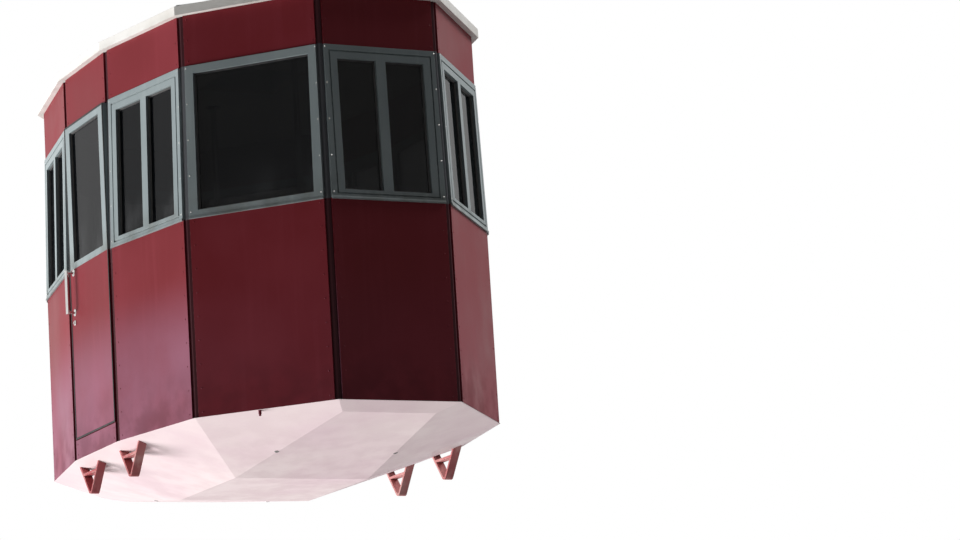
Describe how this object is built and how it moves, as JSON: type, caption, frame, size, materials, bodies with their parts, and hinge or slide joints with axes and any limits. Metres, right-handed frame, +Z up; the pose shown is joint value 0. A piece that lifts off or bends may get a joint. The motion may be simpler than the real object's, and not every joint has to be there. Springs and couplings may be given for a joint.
{
  "type": "aerial tramway cabin",
  "caption": "Twelve-sided cable car cabin with windows all round, inward doors, roof hatch and a faceted underside, hung by a hanger from a wheeled rope carriage.",
  "frame": {"origin": "on the track rope's axis, in the middle of the carriage", "axes": "+X along the rope, +Y to the cabin's left side, +Z up"},
  "size_m": [3.61, 2.292, 5.773],
  "materials": {
    "wall_red": "semi-gloss deep red paint",
    "strip_dark": "dark painted corner strip",
    "frame_silver": "pale grey paint",
    "pane": "clear window glass",
    "pan_white": "off-white paint",
    "rim_white": "white paint",
    "roof_grey": "pale grey roof paint",
    "ceiling_pale": "cream paint",
    "floor_wood": "worn floor boards",
    "foot_red": "faded red paint",
    "hanger_grey": "grey paint",
    "carriage_grey": "dark grey paint",
    "steel": "bare steel",
    "wheel_iron": "machined cast iron",
    "liner_rubber": "wheel liner",
    "rail_chrome": "polished handrail"
  },
  "bodies": {
    "carriage": {"carriage_frame": "carriage_grey", "hanger_pin": "steel", "haul_sockets": "carriage_grey"},
    "rocker_near": {"rocker_near": "carriage_grey"},
    "rocker_far": {"rocker_far": "carriage_grey"},
    "cabin": {"hanger_head": "hanger_grey", "hanger_legs": "hanger_grey", "hanger_bars": "hanger_grey", "roof_beams": "hanger_grey", "roof": "roof_grey", "roof_rim": "rim_white", "hatch_coaming": "roof_grey", "ceiling": "ceiling_pale", "upper_panels": "wall_red", "window_frames": "frame_silver", "window_panes": "pane", "corner_posts": "strip_dark", "lower_panels": "wall_red", "floor": "floor_wood", "belly_pan": "pan_white", "pan_feet": "foot_red", "grab_poles": "rail_chrome", "guard_bars": "rail_chrome", "door_hinge_pins": "steel"},
    "hatch": {"hatch_lid": "roof_grey"},
    "wheel_a": {"wheel_a": "wheel_iron", "wheel_a_liner": "liner_rubber"},
    "wheel_b": {"wheel_b": "wheel_iron", "wheel_b_liner": "liner_rubber"},
    "wheel_c": {"wheel_c": "wheel_iron", "wheel_c_liner": "liner_rubber"},
    "wheel_d": {"wheel_d": "wheel_iron", "wheel_d_liner": "liner_rubber"},
    "door_left": {"door_left_panel": "wall_red", "door_left_sash": "frame_silver", "door_left_pane": "pane", "door_left_handle": "rail_chrome"},
    "door_right": {"door_right_panel": "wall_red", "door_right_sash": "frame_silver", "door_right_pane": "pane", "door_right_handle": "rail_chrome"}
  },
  "joints": [
    {"name": "hanger_swing", "type": "hinge", "parent": "carriage", "child": "cabin", "pos_m": [0, -0.185, 0.12], "axis": [0, 1, 0], "range_deg": [-35, 35]},
    {"name": "rocker_near_tilt", "type": "hinge", "parent": "carriage", "child": "rocker_near", "pos_m": [-0.5, 0, 0.237], "axis": [0, 1, 0], "range_deg": [-12, 12]},
    {"name": "rocker_far_tilt", "type": "hinge", "parent": "carriage", "child": "rocker_far", "pos_m": [0.5, 0, 0.237], "axis": [0, 1, 0], "range_deg": [-12, 12]},
    {"name": "wheel_a_spin", "type": "hinge", "parent": "rocker_near", "child": "wheel_a", "pos_m": [-0.7, 0, 0.162], "axis": [0, 1, 0], "continuous": true},
    {"name": "wheel_b_spin", "type": "hinge", "parent": "rocker_near", "child": "wheel_b", "pos_m": [-0.3, 0, 0.162], "axis": [0, 1, 0], "continuous": true},
    {"name": "wheel_c_spin", "type": "hinge", "parent": "rocker_far", "child": "wheel_c", "pos_m": [0.3, 0, 0.162], "axis": [0, 1, 0], "continuous": true},
    {"name": "wheel_d_spin", "type": "hinge", "parent": "rocker_far", "child": "wheel_d", "pos_m": [0.7, 0, 0.162], "axis": [0, 1, 0], "continuous": true},
    {"name": "hatch_hinge", "type": "hinge", "parent": "cabin", "child": "hatch", "pos_m": [0, 0.306, -2.581], "axis": [-1, 0, 0], "range_deg": [0, 100]},
    {"name": "door_left_hinge", "type": "hinge", "parent": "cabin", "child": "door_left", "pos_m": [-0.316, 1.013, -5.033], "axis": [0, 0, -1], "range_deg": [0, 85]},
    {"name": "door_right_hinge", "type": "hinge", "parent": "cabin", "child": "door_right", "pos_m": [0.316, -1.013, -5.033], "axis": [0, 0, -1], "range_deg": [0, 85]}
  ]
}
